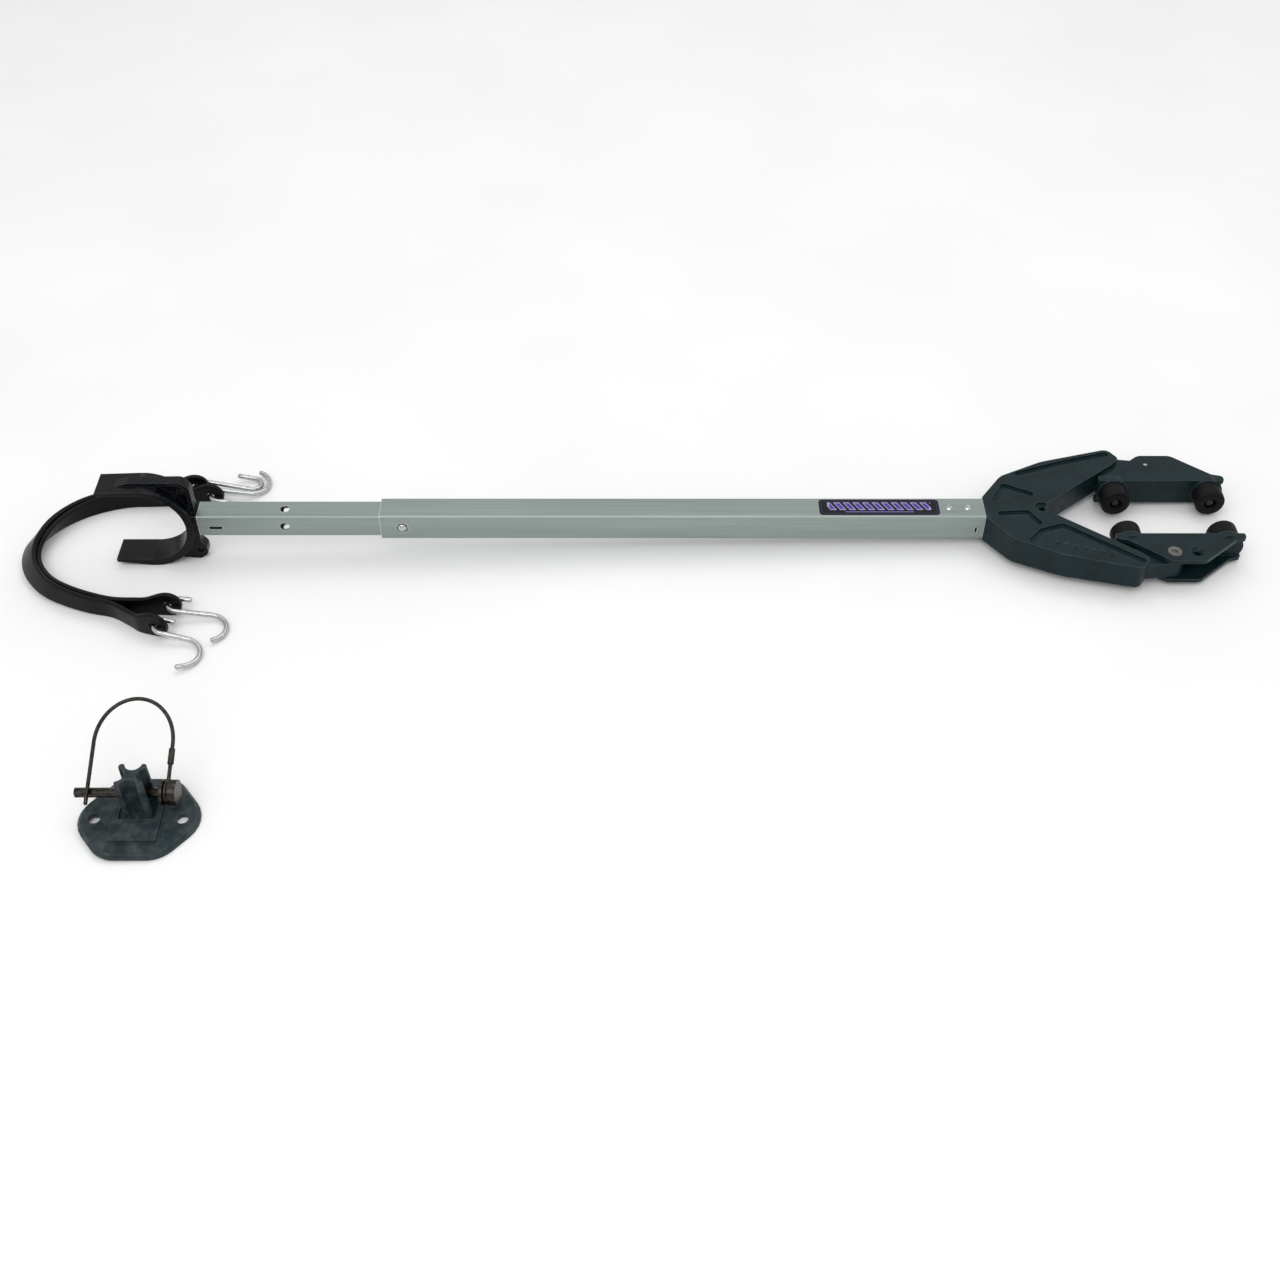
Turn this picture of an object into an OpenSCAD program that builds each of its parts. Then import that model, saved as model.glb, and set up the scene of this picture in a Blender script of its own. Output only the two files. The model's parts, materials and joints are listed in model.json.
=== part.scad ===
// Telescopic outboard motor support bar: a padded yoke for the motor's leg at one end, a saddle for a
// trailer roller at the other, two rubber straps with hooks, and a loose frame bracket with its pin.
// X runs along the bar from saddle to yoke, Z is up, and the origin is the centre of the saddle's jaw.

/* [Bar] */
// Width across the outer square tube
outer_w = 31.75; // [31:0.05:33]
// Width across the inner square tube
inner_w = 27; // [26:0.05:27.2]
// Wall thickness of both tubes
tube_wall = 2; // [1.8:0.1:2.2]
// Length of the outer tube
outer_len = 654.6; // [600:0.2:700]
// Length of the inner tube, most of it inside the outer one
inner_len = 502; // [480:1:540]
// Bare length of inner tube between the saddle and the outer tube
bare_len = 197.8; // [180:0.2:220]

/* [Saddle] */
// Radius of the saddle's jaw
jaw_r = 45; // [42:0.5:48]
// Width of the saddle along the roller
saddle_w = 33; // [30:1:36]
// Thickness of the saddle's central ribs and lugs
lug_t = 12; // [10:1:14]

/* [Yoke] */
// Thickness of the yoke where it meets the tube
yoke_t = 33; // [32:0.5:35]
// Thickness of the yoke at the tips of its arms
tip_t = 27; // [26:0.5:30]
// Depth of the grooves in the yoke's faces
groove_depth = 3; // [1:0.2:3]

/* [Rockers] */
// Height of a rocker over its two plates
rocker_t = 31; // [30:0.5:32]
// Thickness of a rocker's plates
rocker_plate = 4.5; // [4:0.1:4.6]
// Distance of a rocker's inner face from the middle line of the bar
rocker_face = 43.5; // [42:0.5:44]
// Radius of a rubber pad
pad_r = 16; // [15:0.1:16.2]

/* [Straps and hooks] */
// Width of a strap
strap_w = 22; // [21:1:23]
// Thickness of a strap
strap_t = 5.4; // [5:0.1:5.6]
// Radius of the round paddle at each end of a strap
paddle_r = 15; // [14.5:0.5:15]
// Radius of the hooks' wire
hook_wire_r = 2.75; // [2.5:0.05:3]

/* [Bracket] */
// Distance between the bracket's two bolt holes
bolt_spacing = 83.5; // [80:0.5:86]
// Width of the bracket's post
post_w = 27.4; // [26:0.1:27.6]
// Height of the bracket's post above the plate
post_h = 48; // [44:1:52]

/* [Hidden] */
$fn = 48;

// Bar
inner_x = jaw_r + 12.6;
outer_x = inner_x + bare_len;
outer_end = outer_x + outer_len;
corner_r = 2.4;
cavity_w = outer_w - 2 * tube_wall;
inner_cavity_w = inner_w - 2 * tube_wall;
ear_hole = [51.5, -40];
ear_hole_r = 4.2;
tang_w = inner_cavity_w - 0.2;
tang_len = 56;
tang_r = 1.8;
button_x = outer_x + 24;
button_r = 5.2;
button_hole_r = 6.3;
button_top = outer_w / 2 + 2.6;
button_base = 10;
cross_hole_x = inner_x + 94;
cross_hole_r = 5;
rivet_x = [outer_end - 38, outer_end - 18];
rivet_r = 2.4;
rivet_head_r = 4.6;
stake = [14, 4];
label_size = [130, 25, 0.3];
label_x = outer_end - 179;
spring_t = 1;
spring_w = 12;
spring_reach = 44;

// Surface that the bar lies on: it rises from under the saddle to under the far pads
rest_x = 5;
rest_z = -jaw_r - 9.1;
rest_slope = 0.0304;
function rest_at(x) = rest_z + rest_slope * (x - rest_x);

// Yoke
yoke_x = outer_end;
shank_len = 60;
shank_w = cavity_w - 0.35;
eye = [yoke_x + 63, 0];
eye_r = 4;
eye_recess_r = 8;
yoke_run = 170;
yoke_slope = atan((yoke_t - tip_t) / yoke_run);
yoke_half = [
    [yoke_x, 16.5, 0.5], [yoke_x + 25, 52, 26], [yoke_x + 74, 77, 60],
    [yoke_x + 152, 99, 9], [yoke_x + 163, 82, 7], [yoke_x + 153, 72, 16]
];
vertex = [yoke_x + 60, 0, 11];
upper_groove = [[yoke_x + 46, 56], [yoke_x + 98, 75], [yoke_x + 148, 90]];
short_groove_a = [[yoke_x + 14, 12], [yoke_x + 27, 35], [yoke_x + 53, 22]];
short_groove_b = [[yoke_x + 17, -11], [yoke_x + 45, -9], [yoke_x + 55, -26]];
lower_groove = [[yoke_x + 44, -54], [yoke_x + 57, -39], [yoke_x + 80, -31], [yoke_x + 153, -86]];
dash_start = [yoke_x + 70, -57];
dash_end = [yoke_x + 124, -75];
dashes = 7;
tongue_r = 12;
tongue_t = 19;

// Rockers, drawn with their inner face on y = 0 and their outer edge at +y
rocker_x = yoke_x + 202;
rocker_mid = 1.5;
rocker_half = 69;
rocker_depth = 43.5;
hole_offset = 12;
pivot_in = 28.5;
pivot_r = 4;
screw_tip_r = 2.2;
fit_gap = 0.05;
screw_head_r = 7.4;
head_depth = 3;
pad_offset = 52;
pad_len = 22;
cup_r = 17.2;
cup_rise = 2.5;
pad_gap = 0.1;
web_t = 6;
pivot_point = [rocker_x - hole_offset, rocker_face + pivot_in];
arm_points = [[yoke_x + 153, 84, 5], [yoke_x + 144, 66, 4]];
channel = rocker_t / 2 - rocker_plate;

// Straps: the loop that both follow, as [x, y, lean of the wide side from level]
loop_route = [
    [-20, 88, 90], [-50, 87.5, 90], [-76, 81, 90], [-98, 69, 82], [-117, 51, 70], [-130, 30, 58],
    [-137, 6, 44], [-134, -18, 46], [-123, -40, 54], [-105, -60, 66], [-82, -74, 80],
    [-54, -86, 86], [-26, -94, 90]
];
front_start = [[4, 99.2, 90], [26, 101, 90]];
front_end = [[-6, -110, 90], [8, -120, 90], [26, -126, 90]];
back_start = [[18, 85, 90], [46.5, 84, 90]];
back_end = [[4, -93, 90], [34, -95, 90]];
side_gap = strap_t / 2 + 0.5;
rest_gap = 0.3;
strap_hole_r = 4.6;
paddle_blend = 30;

// Hooks, as [turn about Z, side, free leg, outer curl, shank, sweep of the outer curl, tail]
hook_loop_r = 9.5;
hook_upper_front = [-5, 1, 3, 9.5, 61, 180, 18];
hook_upper_back = [2, 1, 12, 20, 42, 150, 2];
hook_lower_front = [-8, -1, 8, 19.5, 38, 150, 8];
hook_lower_back = [0, -1, 12, 19, 47, 150, 2];

// Bracket
bracket_at = [62.6, -379.8];
bracket_floor = -50.6;
plate_t = 6;
plate_edge = 3;
bolt_hole_r = 6;
pad_size = [47, 64, 4];
pad_back = -30;
well_w = 36;
groove_r = 7.4;
groove_in = 7.6;
post_back = 13.7;
pin_up = 21.8;
pin_r = 4.75;
pin_hole_r = 4.8;
pin_left = -57.5;
pin_right = 24.5;
pin_head_r = 12.3;
pin_head_len = 15;
pin_neck_r = 7.5;
pin_neck_half = 2.2;
bail_wire_r = 1.9;
bail_height = 93;
bail_round = 44;
bail_lean = 22;
bail_hook_x = -44;
bail_eye_x = pin_right + 4.6;
bail_off = pin_r + bail_wire_r + 0.35;
bail_eye_r = pin_neck_r + bail_wire_r + 0.1;
pin_at = bracket_at + [0, post_back];
pin_z = bracket_floor + plate_t + pin_up;

// ---- Outlines ----

// Arc of radius r that rounds corner b between its neighbours a and c
function corner_arc(a, b, c, r, n) =
    let (
        u = (a - b) / norm(a - b),
        v = (c - b) / norm(c - b),
        half = acos(u * v) / 2,
        m = b + (u + v) / norm(u + v) * r / sin(half),
        s = b + u * r / tan(half) - m,
        e = b + v * r / tan(half) - m,
        a0 = atan2(s[1], s[0]),
        turn = atan2(e[1], e[0]) - a0,
        sweep = turn > 180 ? turn - 360 : turn < -180 ? turn + 360 : turn
    )
    [for (i = [0:n]) m + r * [cos(a0 + sweep * i / n), sin(a0 + sweep * i / n)]];

// Closed outline through corners [x, y, rounding radius]
function outline(corners, n = 6) =
    let (k = len(corners))
    [for (i = [0:k - 1])
        let (
            p = corners[(i + k - 1) % k],
            b = corners[i],
            q = corners[(i + 1) % k]
        )
        each (b[2] > 0
            ? corner_arc([p[0], p[1]], [b[0], b[1]], [q[0], q[1]], b[2], n)
            : [[b[0], b[1]]])
    ];

function box_outline(x, y, r) =
    outline([[-x / 2, -y / 2, r], [x / 2, -y / 2, r], [x / 2, y / 2, r], [-x / 2, y / 2, r]]);

function reversed(list) = [for (i = [len(list) - 1:-1:0]) list[i]];

// Flat band of width w from a to b
module band(a, b, w) {
    n = [a[1] - b[1], b[0] - a[0]] / norm(b - a) * w / 2;
    polygon([a + n, b + n, b - n, a - n]);
}

// Groove with round ends along a list of points
module groove(points, w) {
    for (i = [0:len(points) - 2]) band(points[i], points[i + 1], w);
    for (p = points) translate(p) circle(d = w);
}

// Extrudes a flat shape drawn in x and z along y, centred on y = 0
module along_y(t) {
    rotate([90, 0, 0]) linear_extrude(t, center = true) children();
}

// Cylinder along +y or +x that starts at the origin
module y_rod(r, h) { rotate([-90, 0, 0]) cylinder(r = r, h = h); }
module x_rod(r, h) { rotate([0, 90, 0]) cylinder(r = r, h = h); }

// Square bar with rounded edges along +x that starts at the origin
module square_bar(w, length, r) {
    rotate([90, 0, 90]) linear_extrude(length) polygon(box_outline(w, w, r));
}

// Square tube along +x that starts at the origin
module square_tube(w, wall, length, r) {
    rotate([90, 0, 90]) linear_extrude(length) difference() {
        polygon(box_outline(w, w, r));
        polygon(box_outline(w - 2 * wall, w - 2 * wall, r - 1.2));
    }
}

// ---- Wire and strap sweeps ----

// Round wire along a list of 3-D points, as one polyhedron
module wire(points, r, sides) {
    n = len(points);
    rings = [for (i = [0:n - 1])
        let (
            d = points[min(i + 1, n - 1)] - points[max(i - 1, 0)],
            t = d / norm(d),
            side = abs(t[2]) > 0.94 ? [1, 0, 0] : [0, 0, 1],
            u = cross(side, t) / norm(cross(side, t)),
            v = cross(t, u)
        )
        for (k = [0:sides - 1]) points[i] + r * (cos(360 * k / sides) * u + sin(360 * k / sides) * v)
    ];
    polyhedron(
        points = rings,
        faces = concat(
            [[for (k = [0:sides - 1]) k]],
            [for (i = [0:n - 2]) for (k = [0:sides - 1])
                [i * sides + k, (i + 1) * sides + k,
                 (i + 1) * sides + (k + 1) % sides, i * sides + (k + 1) % sides]],
            [[for (k = [sides - 1:-1:0]) (n - 1) * sides + k]]
        )
    );
}

// Point at fraction f between b and c on a smooth curve through a, b, c and d
function smooth(a, b, c, d, f) =
    0.5 * (2 * b + (c - a) * f + (2 * a - 5 * b + 4 * c - d) * f * f
        + (3 * b - a - 3 * c + d) * f * f * f);

function smooth_route(pts, steps) =
    let (k = len(pts))
    [for (i = [0:k - 2]) for (s = [0:steps - 1])
        smooth(pts[max(i - 1, 0)], pts[i], pts[i + 1], pts[min(i + 2, k - 1)], s / steps),
     pts[k - 1]];

// Directions of a strap at place i of its route: [along, inwards], both level
function along(route, i) =
    let (d = route[min(i + 1, len(route) - 1)] - route[max(i - 1, 0)])
    [d[0], d[1], 0] / norm([d[0], d[1]]);
function inwards(t) = [-t[1], t[0], 0];
function wide_way(t, lean) = cos(lean) * inwards(t) + [0, 0, sin(lean)];
function thick_way(t, lean) = -sin(lean) * inwards(t) + [0, 0, cos(lean)];

// The loop's points moved to one side of the pair, with the tails of that strap at both ends
function strap_route(side, start, end) =
    concat(
        reversed(start),
        [for (i = [0:len(loop_route) - 1])
            let (
                p = loop_route[i],
                t = along(loop_route, i),
                o = side * side_gap * thick_way(t, p[2])
            )
            [p[0] + o[0], p[1] + o[1], p[2]]],
        end
    );

// Height of a strap's middle above the surface, at a place with this lean and half width
function ride_height(side, lean, half_w) =
    half_w * sin(lean) + (strap_t / 2 + side_gap + side * side_gap) * cos(lean) + rest_gap;

// Half width of the strap at distance s from the hole in its nearest paddle
function half_width(s) =
    s < 0 ? sqrt(max(paddle_r * paddle_r - s * s, 9))
    : s < paddle_blend
    ? strap_w / 2 + (paddle_r - strap_w / 2) * (0.5 + 0.5 * cos(180 * s / paddle_blend))
    : strap_w / 2;

function lengths(pts, i = 0, sum = 0) =
    i >= len(pts) ? [] :
    let (d = i == 0 ? 0 : norm([pts[i][0] - pts[i - 1][0], pts[i][1] - pts[i - 1][1]]))
    concat([sum + d], lengths(pts, i + 1, sum + d));

// Route with the round paddle ends added beyond the two holes
function with_ends(route) =
    let (
        k = len(route) - 1,
        t0 = along(route, 0),
        t1 = along(route, k),
        out = [4.5, 8, 11, 13.2, 14.5]
    )
    concat(
        [for (s = reversed(out)) [route[0][0] - t0[0] * s, route[0][1] - t0[1] * s, 90, -s]],
        [for (i = [0:k]) [route[i][0], route[i][1], route[i][2],
            min(lengths(route)[i], lengths(route)[k] - lengths(route)[i])]],
        [for (s = out) [route[k][0] + t1[0] * s, route[k][1] + t1[1] * s, 90, -s]]
    );

module strap(side, start, end) {
    route = with_ends(smooth_route(strap_route(side, start, end), 3));
    n = len(route);
    c = 1.4;
    rings = [for (i = [0:n - 1])
        let (
            p = route[i],
            t = along(route, i),
            w = wide_way(t, p[2]),
            h = thick_way(t, p[2]),
            half = half_width(p[3]),
            tall = half_width(max(p[3], 0)),
            m = [p[0], p[1], rest_at(p[0]) + ride_height(side, p[2], tall)],
            a = half,
            b = strap_t / 2
        )
        each [for (q = [[a, b - c], [a - c, b], [c - a, b], [-a, b - c],
                        [-a, c - b], [c - a, -b], [a - c, -b], [a, c - b]])
            m + w * q[0] + h * q[1]]
    ];
    difference() {
        polyhedron(
            points = rings,
            faces = concat(
                [[for (k = [0:7]) k]],
                [for (i = [0:n - 2]) for (k = [0:7]) each [
                    [i * 8 + k, (i + 1) * 8 + (k + 1) % 8, i * 8 + (k + 1) % 8],
                    [i * 8 + k, (i + 1) * 8 + k, (i + 1) * 8 + (k + 1) % 8]]],
                [[for (k = [7:-1:0]) (n - 1) * 8 + k]]
            )
        );
        for (tail = [start, end])
            translate(hole_at(tail)) rotate([0, 0, tail_turn(tail)]) strap_hole();
    }
}

// Middle of the hole in the paddle at the end of a tail, and the direction of that tail
function last(list) = list[len(list) - 1];
function hole_at(tail) =
    [last(tail)[0], last(tail)[1], rest_at(last(tail)[0]) + paddle_r + rest_gap];
function tail_turn(tail) =
    let (d = last(tail) - tail[len(tail) - 2])
    atan2(d[1], d[0]);

module strap_hole() {
    translate([0, -20, 0]) y_rod(strap_hole_r, 40);
}

// Arc about c from angle a0 to a1
function arc(c, r, a0, a1, n) =
    [for (i = [0:n]) let (a = a0 + (a1 - a0) * i / n) [c[0] + r * cos(a), c[1] + r * sin(a), 0]];

// Wire hook drawn from the point that lies in a strap's hole: the free leg, the first curl round the
// strap, the shank, and the outer curl that turns the other way
module s_hook(h) {
    side = h[1];
    r1 = hook_loop_r;
    r2 = h[3];
    shank = h[4];
    stop = 90 - h[5];
    c2 = [shank, -r1 - r2];
    tip = [c2[0] + r2 * cos(stop), c2[1] + r2 * sin(stop), 0];
    points = concat(
        [[r1 + h[2], r1, 0], [r1 + h[2] / 2, r1, 0]],
        arc([r1, 0], r1, 90, 270, 12),
        [[(r1 + shank) / 2, -r1, 0]],
        arc(c2, r2, 90, stop, 12),
        [tip + h[6] * [sin(stop), -cos(stop), 0]]
    );
    wire([for (p = points) [p[0], -side * p[1], 0]], hook_wire_r, 10);
}

// Angle by which a hook slopes down so that its outer curl just clears the surface
function hook_drop(h) =
    let (reach = h[4] + h[3])
    asin((paddle_r + rest_gap - hook_wire_r - 0.5) / reach - rest_slope);

module placed_hook(tail, h) {
    translate(hole_at(tail)) rotate([0, 0, h[0]]) rotate([0, hook_drop(h), 0]) s_hook(h);
}

// ---- Bar ----

module outer_tube() {
    color("silver") difference() {
        translate([outer_x, 0, 0]) square_tube(outer_w, tube_wall, outer_len, corner_r);
        translate([button_x, -outer_w, 0]) y_rod(button_hole_r, outer_w);
        for (x = rivet_x) translate([x, 0, -outer_w]) cylinder(r = rivet_r, h = 2 * outer_w);
        translate([outer_end - 10, -outer_w / 2 - 1, -6]) cube([2.4, tube_wall + 2, 7]);
    }
}

module inner_tube() {
    color("silver") difference() {
        translate([inner_x, 0, 0]) square_tube(inner_w, tube_wall, inner_len, corner_r - 0.4);
        translate([button_x, -inner_w, 0]) y_rod(button_r + fit_gap, inner_w);
        translate([cross_hole_x, -inner_w, 0]) y_rod(cross_hole_r, 2 * inner_w);
        translate([cross_hole_x, 0, -inner_w]) cylinder(r = cross_hole_r, h = 2 * inner_w);
        translate([inner_x + 12, -inner_w / 2 - 1, -4]) cube([stake[0], tube_wall + 2, stake[1]]);
    }
}

module label() {
    color("#15151c") translate([label_x + label_size[0] / 2, 0, outer_w / 2])
        linear_extrude(label_size[2]) polygon(box_outline(label_size[0], label_size[1], 4));
}

module yoke_rivets() {
    color("lightgray") for (x = rivet_x) for (side = [0, 180])
        translate([x, 0, 0]) rotate([side, 0, 0]) {
            cylinder(r = rivet_r - fit_gap, h = outer_w / 2);
            translate([0, 0, outer_w / 2]) cylinder(r1 = rivet_head_r, r2 = rivet_head_r - 1.4, h = 1.4);
        }
}

module snap_button() {
    color("silver") translate([button_x, 0, 0]) rotate([90, 0, 0]) rotate_extrude() polygon(concat(
        [[0, button_base], [button_r, button_base]],
        [for (i = [0:5]) let (a = 90 * i / 5)
            [button_r * cos(a), button_top - 3 + 3 * sin(a)]]
    ));
}

module button_spring() {
    leg = [
        [button_x - 8, -button_base], [button_x + 8, -button_base],
        [button_x + spring_reach, -2], [button_x + spring_reach, 2],
        [button_x + 8, button_base], [button_x - 8, button_base]
    ];
    color("dimgray") translate([0, 0, -spring_w / 2]) linear_extrude(spring_w) union() {
        for (i = [0:len(leg) - 2]) band(
            leg[i] + [0, i < 3 ? spring_t / 2 : -spring_t / 2],
            leg[i + 1] + [0, i < 2 ? spring_t / 2 : -spring_t / 2],
            spring_t
        );
    }
}

// ---- Saddle ----

module saddle() {
    steps = 24;
    body = concat(
        [[-40, -jaw_r - 4]],
        [for (i = [0:steps])
            let (
                a = -90 + 180 * i / steps,
                r = jaw_r + (a < 0 ? 8 - a / 90 : 8 - 2.5 * a * a / 8100)
            )
            [r * cos(a), r * sin(a)]],
        [[-43.5, jaw_r + 3.8]]
    );
    upper_lug = outline([
        [30, 36, 0], [40, 13.6, 0], [55.2, 13.6, 0], [55.2, 46, 9], [47, 54.5, 8],
        [-10, 53.5, 12], [-28, 48.5, 0], [0, 48, 0]
    ]);
    upper_pocket = outline([[38, 37, 3], [45, 20, 2], [51, 19, 2], [51.2, 43, 5], [44, 50.5, 5], [14, 50, 2]]);
    lower_lug = outline([
        [40, -13.4, 0], [54, -13.4, 0], [54.5, -30, 4], [59, -36, 3], [59, -46, 6], [50, -53, 6],
        [24, -50, 0]
    ]);
    color("#1d1e20") difference() {
        union() {
            along_y(saddle_w) polygon(body);
            along_y(lug_t) polygon(upper_lug);
            along_y(lug_t) polygon(lower_lug);
            translate([jaw_r + 1, 0, 0]) square_bar(inner_w, inner_x - jaw_r - 1, tang_r);
            translate([inner_x - 1, 0, 0]) square_bar(tang_w, tang_len + 1, tang_r);
        }
        translate([0, -saddle_w, 0]) y_rod(jaw_r, 2 * saddle_w);
        translate([-2 * jaw_r, -saddle_w, -jaw_r]) cube([2 * jaw_r, 2 * saddle_w, 2 * jaw_r]);
        for (side = [-1, 1]) translate([0, side * (lug_t / 2 + 2), 0]) along_y(lug_t)
            polygon(upper_pocket);
        translate([ear_hole[0], -lug_t, ear_hole[1]]) y_rod(ear_hole_r, 2 * lug_t);
    }
    color("#1d1e20") along_y(lug_t - 3) translate([40.5, 38]) square([6.5, 5]);
}

// ---- Yoke and rockers ----

module yoke_outline() {
    half = [for (p = yoke_half) p];
    near = [for (p = reversed(half)) [p[0], -p[1], p[2]]];
    polygon(outline(concat(half, [vertex], near)));
}

module face_grooves() {
    translate([0, 0, yoke_t / 2 - groove_depth]) {
        linear_extrude(groove_depth + 2) {
            groove(upper_groove, 8.5);
            groove(short_groove_a, 8);
            groove(short_groove_b, 8);
            groove(lower_groove, 8.5);
        }
        translate([eye[0], eye[1], 0]) cylinder(r = eye_recess_r, h = groove_depth + 2);
    }
}

// Raised marks in a row on the near arm's upper face
module dash_row() {
    for (i = [0:dashes - 1]) {
        at = dash_start + (dash_end - dash_start) * i / (dashes - 1);
        translate([at[0], at[1], yoke_t / 2 - 1]) rotate([0, 0, -18]) translate([-2.5, -1.5, 0])
            cube([i % 3 == 1 ? 3 : 5, 3, 2]);
    }
}

module yoke() {
    rise = yoke_t - tip_t;
    color("#3c5759") difference() {
        union() {
            intersection() {
                translate([0, 0, -yoke_t / 2]) linear_extrude(yoke_t) yoke_outline();
                along_y(220) polygon([
                    [yoke_x - 1, -yoke_t / 2], [yoke_x, -yoke_t / 2],
                    [yoke_x + yoke_run, -yoke_t / 2 + rise], [yoke_x + yoke_run, yoke_t / 2],
                    [yoke_x - 1, yoke_t / 2]
                ]);
            }
            translate([yoke_x - shank_len, 0, 0]) square_bar(shank_w, shank_len + 8, tang_r);
            for (side = [-1, 1]) translate([0, 0, rocker_mid - tongue_t / 2]) linear_extrude(tongue_t)
                hull() {
                    translate([pivot_point[0], side * pivot_point[1]]) circle(r = tongue_r);
                    for (p = arm_points) translate([p[0], side * p[1]]) circle(r = p[2]);
                }
            dash_row();
        }
        face_grooves();
        translate([yoke_x, 0, 0]) rotate([0, -yoke_slope, 0]) translate([-yoke_x, 0, 0])
            mirror([0, 0, 1]) face_grooves();
        translate([eye[0], eye[1], -yoke_t]) cylinder(r = eye_r, h = 2 * yoke_t);
        for (side = [-1, 1]) translate([pivot_point[0], side * pivot_point[1], -yoke_t])
            cylinder(r = pivot_r + fit_gap, h = 2 * yoke_t);
        for (x = rivet_x) translate([x, 0, -outer_w]) cylinder(r = rivet_r, h = 2 * outer_w);
    }
}

// Places rocker pieces: side -1 is the near rocker, 1 the far one, which is the same part turned over
module on_side(side) {
    translate([rocker_x, side * rocker_face, rocker_mid]) rotate([side < 0 ? 180 : 0, 0, 0]) children();
}

module rocker(side) {
    plate = outline([
        [-rocker_half, 0, 2], [rocker_half, 0, 2], [rocker_half, 8, 4], [57, 11, 8],
        [18, rocker_depth, 12], [-18, rocker_depth, 12], [-57, 11, 8], [-rocker_half, 8, 4]
    ]);
    color("#3c5759") on_side(side) difference() {
        union() {
            for (z = [-rocker_t / 2, channel])
                translate([0, 0, z]) linear_extrude(rocker_plate) polygon(plate);
            translate([-rocker_half + 2, 0, -rocker_t / 2])
                cube([2 * rocker_half - 4, web_t, rocker_t]);
            for (x = [-pad_offset, pad_offset])
                translate([x, -cup_rise, 0]) y_rod(cup_r, cup_rise + web_t);
        }
        for (x = [-pad_offset, pad_offset]) {
            translate([x, -cup_rise - 1, 0]) y_rod(pad_r + pad_gap, cup_rise + 1);
            translate([x, -1, 0]) y_rod(2.6, web_t + 2);
        }
        for (x = [-hole_offset, hole_offset]) translate([x, pivot_in, 0]) {
            translate([0, 0, -rocker_t]) cylinder(r = pivot_r + fit_gap, h = rocker_t);
            translate([0, 0, -rocker_t / 2 - 0.01])
                cylinder(r1 = screw_head_r, r2 = pivot_r + fit_gap, h = head_depth);
        }
        translate([-hole_offset, pivot_in, 0]) cylinder(r = screw_tip_r + fit_gap, h = rocker_t);
    }
}

module pivot_screw(side) {
    color("silver") on_side(side) translate([-hole_offset, pivot_in, 0]) difference() {
        union() {
            translate([0, 0, head_depth - rocker_t / 2])
                cylinder(r = pivot_r, h = rocker_t / 2 - head_depth + channel - fit_gap);
            cylinder(r = screw_tip_r, h = rocker_t / 2 - 0.4);
            translate([0, 0, -rocker_t / 2])
                cylinder(r1 = screw_head_r - fit_gap, r2 = pivot_r, h = head_depth);
        }
        for (a = [20, 110]) translate([0, 0, -rocker_t / 2]) rotate([0, 0, a])
            cube([7, 1.5, 3], center = true);
    }
}

module washers(side) {
    gap = channel - tongue_t / 2 - 0.1;
    color("black") on_side(side) for (z = [-channel + 0.05, tongue_t / 2 + 0.05])
        translate([-hole_offset, pivot_in, z]) difference() {
            cylinder(r = 9, h = gap);
            translate([0, 0, -1]) cylinder(r = pivot_r + 0.2, h = gap + 2);
        }
}

module pad(side, x) {
    color("#141414") on_side(side) translate([x, 0, 0]) rotate([90, 0, 0]) rotate_extrude() polygon([
        [2.8, 0], [pad_r, 0], [pad_r, pad_len - 2.5], [pad_r - 2.5, pad_len],
        [6.5, pad_len], [6.5, pad_len - 6], [2.8, pad_len - 6]
    ]);
}

module pad_screws(side) {
    color("dimgray") on_side(side) for (x = [-pad_offset, pad_offset])
        translate([x, web_t + 1, 0]) rotate([90, 0, 0]) rotate_extrude() polygon([
            [0, 0], [2.5, 0], [2.5, web_t + 1 + pad_len - 6], [5, web_t + 1 + pad_len - 6],
            [5, web_t + 1 + pad_len - 4.5], [3.6, web_t + 1 + pad_len - 3], [0, web_t + 1 + pad_len - 3]
        ]);
}

// ---- Bracket ----

// Post with an X-shaped section, on the axis of the bracket's well
module post() {
    translate([pin_at[0], pin_at[1], bracket_floor + plate_t - 1]) difference() {
        linear_extrude(post_h + 1, scale = 0.95) polygon(box_outline(post_w, post_w, 2.5));
        for (a = [0, 90, 180, 270]) rotate([0, 0, a])
            translate([0, groove_in - post_w / 2 - groove_r - 0.6, 1])
                cylinder(r1 = groove_r + 0.6, r2 = groove_r + 1.2, h = post_h + 5);
    }
}

module bracket() {
    plate = outline([
        [-67, 2, 32], [-29, -45, 30], [29, -45, 30], [67, 2, 32], [28, 51, 26], [-28, 51, 26]
    ]);
    color("#46605f") difference() {
        union() {
            translate([bracket_at[0], bracket_at[1], bracket_floor]) difference() {
                union() {
                    linear_extrude(plate_t - plate_edge) polygon(plate);
                    translate([0, 0, plate_t - plate_edge - 0.01])
                        linear_extrude(plate_edge + 0.01, scale = 0.95) polygon(plate);
                    translate([0, pad_back + pad_size[1] / 2, plate_t - 1])
                        linear_extrude(pad_size[2] + 1, scale = 0.96)
                        polygon(box_outline(pad_size[0], pad_size[1], 2));
                }
                translate([0, post_back, plate_t])
                    linear_extrude(20) polygon(box_outline(well_w, well_w, 2));
            }
            post();
        }
        for (side = [-1, 1])
            translate([bracket_at[0] + side * bolt_spacing / 2, bracket_at[1], bracket_floor - 5])
                cylinder(r = bolt_hole_r, h = plate_t + 10);
        translate([pin_at[0] - 40, pin_at[1], pin_z]) x_rod(pin_hole_r, 80);
    }
}

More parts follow.
